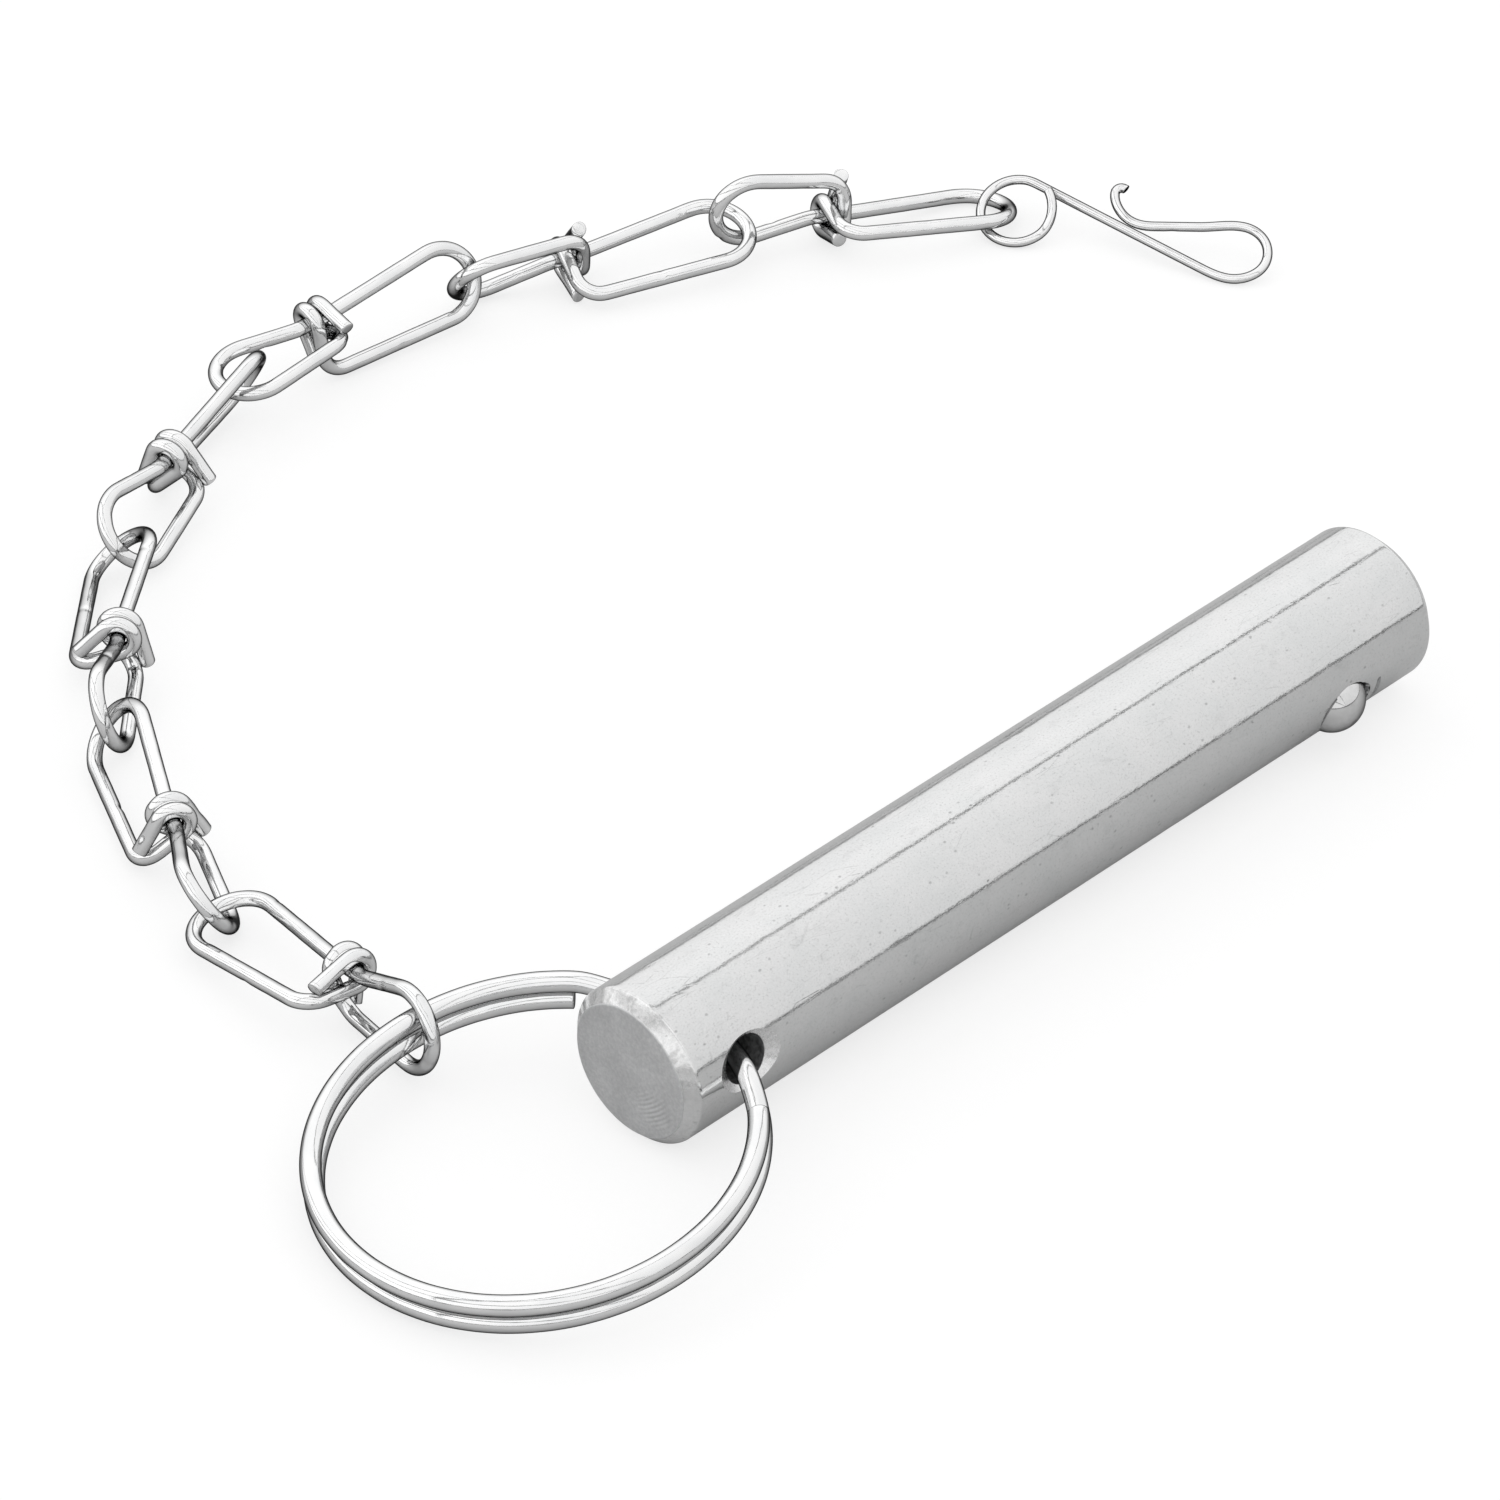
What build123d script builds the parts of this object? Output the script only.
from build123d import *
import os
from math import sin, cos, asin, acos, tan, radians, pi

# Detent hitch pin on a tether: a 3/4 in shank with a sprung detent ball, a split ring
# through a cross hole, seven double-loop wire chain links and a wire spring clip.
# Millimetres.  +X runs along the pin from the ring end to the detent end, +Z is up,
# the origin is on the pin's axis at mid-length.  The pin lies on a floor at z = -9.525.

INCH = 25.4

# ---------------------------------------------------------------- pin dimensions
PIN_D = 3 / 4 * INCH
PIN_R = PIN_D / 2
PIN_L = 4.75 * INCH
PIN_CHAMFER = 1.47       # at both ends

HOLE_X = -51.2           # cross hole for the ring
HOLE_TILT = 9.3          # its -Y mouth points this many degrees above -Y
HOLE_R = 2.88
HOLE_RIM_R = 4.44        # countersunk mouths, where they reach the shank's surface
HOLE_SINK = 0.94         # depth of the 118 degree countersink
HOLE_OVERRUN = 2.0       # cutter length beyond the shank at each mouth

# Detent heights are measured from the pin's axis along the bore.
BALL_D = 7.94            # 5/16 in ball
BALL_X = 45.2
BALL_TILT = 22.8         # the detent bore points this many degrees below -Y
BALL_H = 7.45            # ball centre
POCKET_R = 4.02          # blind bore for ball and spring
POCKET_FLOOR = -5.0
LIP_R = 3.72             # rolled-in retaining lip
LIP_H = 9.0              # where the lip starts
LIP_OVERRUN = 3.0        # cutter length beyond the shank

STAKE_X = 5.3            # chisel cut that rolled the lip in, from the ball towards +X
STAKE_W = 0.55
STAKE_DEPTH = 0.7
STAKE_L = 5.2            # along the cut, across the shank
STAKE_CORNER_R = 0.2
STAKE_CUT = 3.0          # cutter height above the floor of the cut

SPRING_WIRE = 0.8
SPRING_R = 2.8           # coil centre-line radius
SPRING_LOW = -4.5        # centre-line of the lowest and highest wire
SPRING_HIGH = 4.03
SPRING_PITCH = 2.13

# ---------------------------------------------------------------- split ring dimensions
RING_WIRE = 2.44
RING_R = 24.169          # coil centre-line radius
RING_LAYER = 1.25        # each coil sits this far from the ring's mid plane
RING_CENTRE = (-73.6549, 0.803, -3.342)
RING_NORMAL = (-0.14537, 0.01603, 0.98925)
# the wire crosses from the lower to the upper coil inside the cross hole:
# (degrees round the ring from the pin side, height above the mid plane)
RING_CROSSING = [
    (-41.4, -RING_LAYER), (-37, -0.95), (-33, -0.3), (-29, 0.35), (-25, 0.75), (-20, 0.85),
    (-8, 0.65), (5, 0.35), (16, 0.15), (23, 0.25), (29, 0.8), (35.2, RING_LAYER),
]

# ---------------------------------------------------------------- chain link dimensions
LINK_WIRE = 1.83
LINK_GAP = 0.10          # gap between the wraps and the wire they go round
LINK_TWIST = 70.0        # degrees between the planes of a link's two loops
LINK_BEND_R = 6.0        # soft bend where the through wire enters a loop leg
CORNER_R = 1.9           # bend from the return leg into the wrap
TAIL_L = 5.31            # free tail after the wrap
WRAP_EXTRA = 0.132       # radians: the wrap ends this far past three quarters of a turn,
                         # counted from the loop's own side of the through wire
STRAIGHT_SPARE = 0.05    # straight wire beyond the wrap's edge

WRAP_R = LINK_WIRE + LINK_GAP                       # wrap centre line about the through wire
WRAP_X = WRAP_R / 2                                 # each wrap's distance from knot centre
STRAIGHT = WRAP_X + LINK_WIRE / 2 + STRAIGHT_SPARE  # half the straight wire in the knot

# length, width, outgoing bend radius, returning bend radius,
# splay of the outgoing leg and taper of the return leg in degrees
LOOP_A = (15.679, 6.950, 4.677, 4.330, 15.182, 7.490)      # short loop, ring side
LOOP_B = (22.014, 8.159, 5.023, 4.200, 4.269, 3.895)       # long loop, clip side

# each link as it lies: knot centre, long axis towards the clip,
# normal of the plane midway between its two loops
LINKS = [
    ((-67.160, 36.786, -2.726), (0.13117, 0.98154, -0.13918), (-0.71982, 0.19084, 0.66741)),
    ((-63.268, 69.996, -2.241), (0.48719, 0.87151, 0.05582), (-0.87307, 0.48752, 0.00844)),
    ((-44.379, 99.573, -2.165), (0.77554, 0.63057, -0.03036), (-0.60398, 0.75510, 0.25501)),
    ((-16.829, 120.956, -1.826), (0.95557, 0.28517, 0.07466), (-0.27472, 0.95333, -0.12523)),
    ((14.138, 129.072, -1.898), (0.98601, -0.13482, 0.09806), (0.15770, 0.56359, -0.81086)),
    ((49.002, 121.278, -5.804), (0.92983, -0.35886, 0.08146), (-0.05227, -0.34792, -0.93606)),
    ((78.406, 105.334, -6.278), (0.91024, -0.39762, -0.11556), (-0.36287, -0.63157, -0.68516)),
]

# ---------------------------------------------------------------- spring clip dimensions
CLIP_WIRE = 1.2
CLIP_CENTRE = (95.828, 90.271, -6.911)                      # centre of the eye
CLIP_NORMAL = (-0.39419, -0.21171, 0.89431)
CLIP_LEG = (0.19006, -0.97085, -0.14606)                    # along the straight leg
CLIP_LEG_L = 24.0
CLIP_EYE_R = 4.476       # eye centre-line radius
# eye angles are in degrees from the leg's direction
CLIP_EYE_END = 60.0      # the eye's wire end: it closes over the top of the leg
CLIP_EYE_START = -15.0   # where that end begins to lift out of the clip's plane
CLIP_EYE_LEG = -270.0    # where the eye runs into the leg
CLIP_EYE_LIFT = 1.30     # height of the wire end above the clip's plane
# points after the leg, in wire order: (along the leg, across it) from the eye's centre
CLIP_BOW = [(28.9, 5.47), (30.69, 8.42), (29.27, 11.34), (26.28, 12.15), (24.81, 11.71)]
CLIP_RETURN = [(20.93, 9.33), (16.6, 6.95)]                 # ends of the straight return
CLIP_BEAK = [
    (14.42, 5.95), (13.11, 5.80), (11.53, 6.15), (10.30, 6.87),
    (9.38, 7.85), (9.12, 8.70), (9.55, 9.22), (10.30, 9.28),
]


# ---------------------------------------------------------------- shared helpers
def at(plane, x, y, z=0):
    """A point given in a plane's own axes, as a point of the model."""
    return plane.origin + along(plane, x, y, z)


def along(plane, x, y, z=0):
    """A direction given in a plane's own axes, as a direction of the model."""
    return plane.x_dir * x + plane.y_dir * y + plane.z_dir * z


def round_wire(path, diameter, is_frenet=False):
    """A solid round wire that follows the path."""
    with BuildPart() as wire:
        with BuildSketch(Plane(origin=path @ 0, z_dir=path % 0)):
            Circle(diameter / 2)
        sweep(path=path, is_frenet=is_frenet)
    return wire.part


def save(part, name):
    part.label = name
    export_step(part, f"parts/{name}.step")


# ---------------------------------------------------------------- pin body
HOLE_DIR = Vector(0, -cos(radians(HOLE_TILT)), sin(radians(HOLE_TILT)))
BALL_DIR = Vector(0, -cos(radians(BALL_TILT)), -sin(radians(BALL_TILT)))


def from_axis(x, direction, height):
    """The point at a height from the pin's axis, in a direction square to it."""
    return Vector(x, 0, 0) + direction * height


def cross_plane(x, direction, height):
    """A plane at that point, facing along the direction."""
    return Plane(origin=from_axis(x, direction, height), x_dir=(1, 0, 0), z_dir=direction)


def make_pin_body():
    upward = (Align.CENTER, Align.CENTER, Align.MIN)
    with BuildPart() as body:
        with BuildSketch(Plane.YZ.offset(-PIN_L / 2)):
            Circle(PIN_R)
        extrude(amount=PIN_L)
        chamfer(body.edges().filter_by(GeomType.CIRCLE), PIN_CHAMFER)

        # cross hole, countersunk at both mouths
        with Locations(cross_plane(HOLE_X, HOLE_DIR, 0)):
            Cylinder(HOLE_R, PIN_D + 2 * HOLE_OVERRUN, mode=Mode.SUBTRACT)
        for side in (1, -1):
            with Locations(cross_plane(HOLE_X, HOLE_DIR * side, PIN_R - HOLE_SINK)):
                # twice the sink depth, so the cone passes the rim at the surface
                Cone(HOLE_R, 2 * HOLE_RIM_R - HOLE_R, 2 * HOLE_SINK,
                     align=upward, mode=Mode.SUBTRACT)

        # detent pocket: blind bore, then the narrower lip that keeps the ball in
        with Locations(cross_plane(BALL_X, BALL_DIR, POCKET_FLOOR)):
            Cylinder(POCKET_R, LIP_H - POCKET_FLOOR, align=upward, mode=Mode.SUBTRACT)
            Cylinder(LIP_R, PIN_R - POCKET_FLOOR + LIP_OVERRUN,
                     align=upward, mode=Mode.SUBTRACT)

        # stake mark that rolled the lip in, on the +X side of the ball
        with BuildSketch(cross_plane(BALL_X + STAKE_X, BALL_DIR, PIN_R - STAKE_DEPTH)):
            RectangleRounded(STAKE_W, STAKE_L, STAKE_CORNER_R)
        extrude(amount=STAKE_CUT, mode=Mode.SUBTRACT)
    return body.part


# ---------------------------------------------------------------- detent ball and spring
def make_detent_ball():
    with BuildPart() as ball:
        with Locations(from_axis(BALL_X, BALL_DIR, BALL_H)):
            Sphere(BALL_D / 2)
    return ball.part


def make_detent_spring():
    with BuildLine() as coil:
        Helix(pitch=SPRING_PITCH, height=SPRING_HIGH - SPRING_LOW, radius=SPRING_R,
              center=from_axis(BALL_X, BALL_DIR, SPRING_LOW), direction=BALL_DIR)
    return round_wire(coil.wires()[0], SPRING_WIRE, is_frenet=True)


# ---------------------------------------------------------------- split ring
def make_split_ring():
    normal = Vector(*RING_NORMAL).normalized()
    towards_pin = (Vector(1, 0, 0) - normal * normal.X).normalized()
    plane = Plane(origin=RING_CENTRE, x_dir=towards_pin, z_dir=normal)

    def on_ring(angle, height):
        return at(plane, RING_R * cos(radians(angle)), RING_R * sin(radians(angle)), height)

    crossing_start = RING_CROSSING[0][0]
    crossing_end = RING_CROSSING[-1][0]
    # each coil runs from the crossing's end round to its start, one turn on
    coil_end = crossing_start + 360
    coil_angles = (crossing_end, (crossing_end + coil_end) / 2, coil_end)
    with BuildLine() as line:
        ThreePointArc(*[on_ring(a, -RING_LAYER) for a in coil_angles])
        Spline(*[on_ring(a, height) for a, height in RING_CROSSING],
               tangents=[along(plane, -sin(radians(a)), cos(radians(a)))
                         for a in (crossing_start, crossing_end)])
        ThreePointArc(*[on_ring(a, RING_LAYER) for a in coil_angles])
    return round_wire(line.wires()[0], RING_WIRE)


# ---------------------------------------------------------------- chain links
# One wire makes the whole link: tail, wrap, loop A, the straight wire through the knot,
# loop B, wrap, tail.  A half is worked out from the knot centre in its own axes.
OUT = Vector(1, 0, 0)        # outward along the link
ACROSS = Vector(0, 1, 0)     # across the loop
NORMAL = Vector(0, 0, 1)     # out of the loop's plane


def arc_points(centre, first_axis, second_axis, radius, start, end):
    """Start, middle and end of an arc; angles in radians from the first axis."""
    return [centre + (first_axis * cos(a) + second_axis * sin(a)) * radius
            for a in (start, (start + end) / 2, end)]


def half_link(loop):
    """Segments of half a link: two points make a line, three an arc."""
    length, width, out_bend, return_bend, splay, taper = loop
    splay, taper = radians(splay), radians(taper)

    # through wire, soft bend and outgoing leg
    straight_end = OUT * STRAIGHT
    soft_bend = arc_points(straight_end - ACROSS * LINK_BEND_R, ACROSS, OUT,
                           LINK_BEND_R, 0, splay)
    leg_start = soft_bend[-1]
    leg_run = (length - out_bend - out_bend * sin(splay) - leg_start.X) / cos(splay)
    leg_end = leg_start + (OUT * cos(splay) - ACROSS * sin(splay)) * leg_run

    # the loop's far end, between its two bends
    out_centre = leg_end + (OUT * sin(splay) + ACROSS * cos(splay)) * out_bend
    out_arc = arc_points(out_centre, OUT, ACROSS, out_bend, -pi / 2 - splay, 0)
    return_centre = Vector(length - return_bend, width - return_bend, 0)
    return_arc = arc_points(return_centre, OUT, ACROSS, return_bend, 0, pi / 2 + taper)

    # the return leg aims at the wrap and turns down round the through wire
    homeward = Vector(-cos(taper), -sin(taper), 0)
    return_start = return_arc[-1]
    corner = return_start + homeward * ((return_start.X + WRAP_X) / cos(taper))
    lean = asin(WRAP_R / corner.Y)
    down = Vector(0, -cos(lean), -sin(lean))
    turn = acos(homeward.dot(down))
    setback = CORNER_R * tan(turn / 2)
    corner_in = corner - homeward * setback
    corner_out = corner + down * setback
    inward = (down - homeward * down.dot(homeward)).normalized()
    corner_mid = (corner_in + inward * (CORNER_R * (1 - cos(turn / 2)))
                  + homeward * (CORNER_R * sin(turn / 2)))

    # wrap and free tail
    wrap_end = -(3 * pi / 2 + WRAP_EXTRA)
    wrap = arc_points(OUT * -WRAP_X, ACROSS, NORMAL, WRAP_R, lean - pi / 2, wrap_end)
    tail_dir = ACROSS * sin(wrap_end) - NORMAL * cos(wrap_end)
    return [
        [Vector(0, 0, 0), straight_end],
        soft_bend,
        [leg_start, leg_end],
        out_arc,
        [out_arc[-1], return_arc[0]],
        return_arc,
        [return_start, corner_in],
        [corner_in, corner_mid, corner_out],
        [corner_out, wrap[0]],
        wrap,
        [wrap[-1], wrap[-1] + tail_dir * TAIL_L],
    ]


def in_link(points, side):
    """Half-link axes into the link's own: side +1 is loop B, -1 is loop A."""
    a = radians(LINK_TWIST / 2)
    return [(side * p.X, p.Y * cos(a) - p.Z * sin(a), side * (p.Y * sin(a) + p.Z * cos(a)))
            for p in points]


# loop A's half is reversed so that the wire runs from tail to tail
LINK_PATH = [in_link(points, -1)[::-1] for points in half_link(LOOP_A)[::-1]]
LINK_PATH += [in_link(points, 1) for points in half_link(LOOP_B)]


def make_chain_link(centre, axis, normal):
    z = Vector(*normal)
    x = Vector(*axis)
    x = (x - z * (x.dot(z) / z.dot(z))).normalized()     # square to the normal
    with BuildLine(Plane(origin=centre, x_dir=x, z_dir=z)) as line:
        for points in LINK_PATH:
            if len(points) == 2:
                Line(*points)
            else:
                ThreePointArc(*points)
    return round_wire(line.wires()[0], LINK_WIRE)


# ---------------------------------------------------------------- spring clip
def make_spring_clip():
    plane = Plane(origin=CLIP_CENTRE, x_dir=CLIP_LEG, z_dir=CLIP_NORMAL)

    def on_eye(angle, lift=0):
        return at(plane, CLIP_EYE_R * cos(radians(angle)),
                  CLIP_EYE_R * sin(radians(angle)), lift)

    def eye_tangent(angle):
        return along(plane, sin(radians(angle)), -cos(radians(angle)))

    # the wire end eases down into the clip's plane as t goes from 1 to 0
    lifted_end = [on_eye(CLIP_EYE_START + (CLIP_EYE_END - CLIP_EYE_START) * t,
                         CLIP_EYE_LIFT * t * t * (3 - 2 * t))
                  for t in (1, 0.8, 0.6, 0.4, 0.2, 0)]
    eye_middle = (CLIP_EYE_START + CLIP_EYE_LEG) / 2
    leg_end = at(plane, CLIP_LEG_L, CLIP_EYE_R)
    return_start, return_end = [at(plane, *p) for p in CLIP_RETURN]
    return_dir = return_end - return_start
    with BuildLine() as line:
        Spline(*lifted_end, tangents=[eye_tangent(CLIP_EYE_END), eye_tangent(CLIP_EYE_START)])
        ThreePointArc(*[on_eye(a) for a in (CLIP_EYE_START, eye_middle, CLIP_EYE_LEG)])
        Line(at(plane, 0, CLIP_EYE_R), leg_end)
        Spline(leg_end, *[at(plane, *p) for p in CLIP_BOW], return_start,
               tangents=[plane.x_dir, return_dir])
        Line(return_start, return_end)
        Spline(return_end, *[at(plane, *p) for p in CLIP_BEAK],
               tangents=[return_dir, plane.x_dir])
    return round_wire(line.wires()[0], CLIP_WIRE)


# ---------------------------------------------------------------- build and save
os.makedirs("parts", exist_ok=True)
save(make_pin_body(), "pin_body")
save(make_detent_ball(), "detent_ball")
save(make_detent_spring(), "detent_spring")
save(make_split_ring(), "split_ring")
for number, place in enumerate(LINKS, start=1):
    save(make_chain_link(*place), f"chain_link_{number}")
save(make_spring_clip(), "spring_clip")
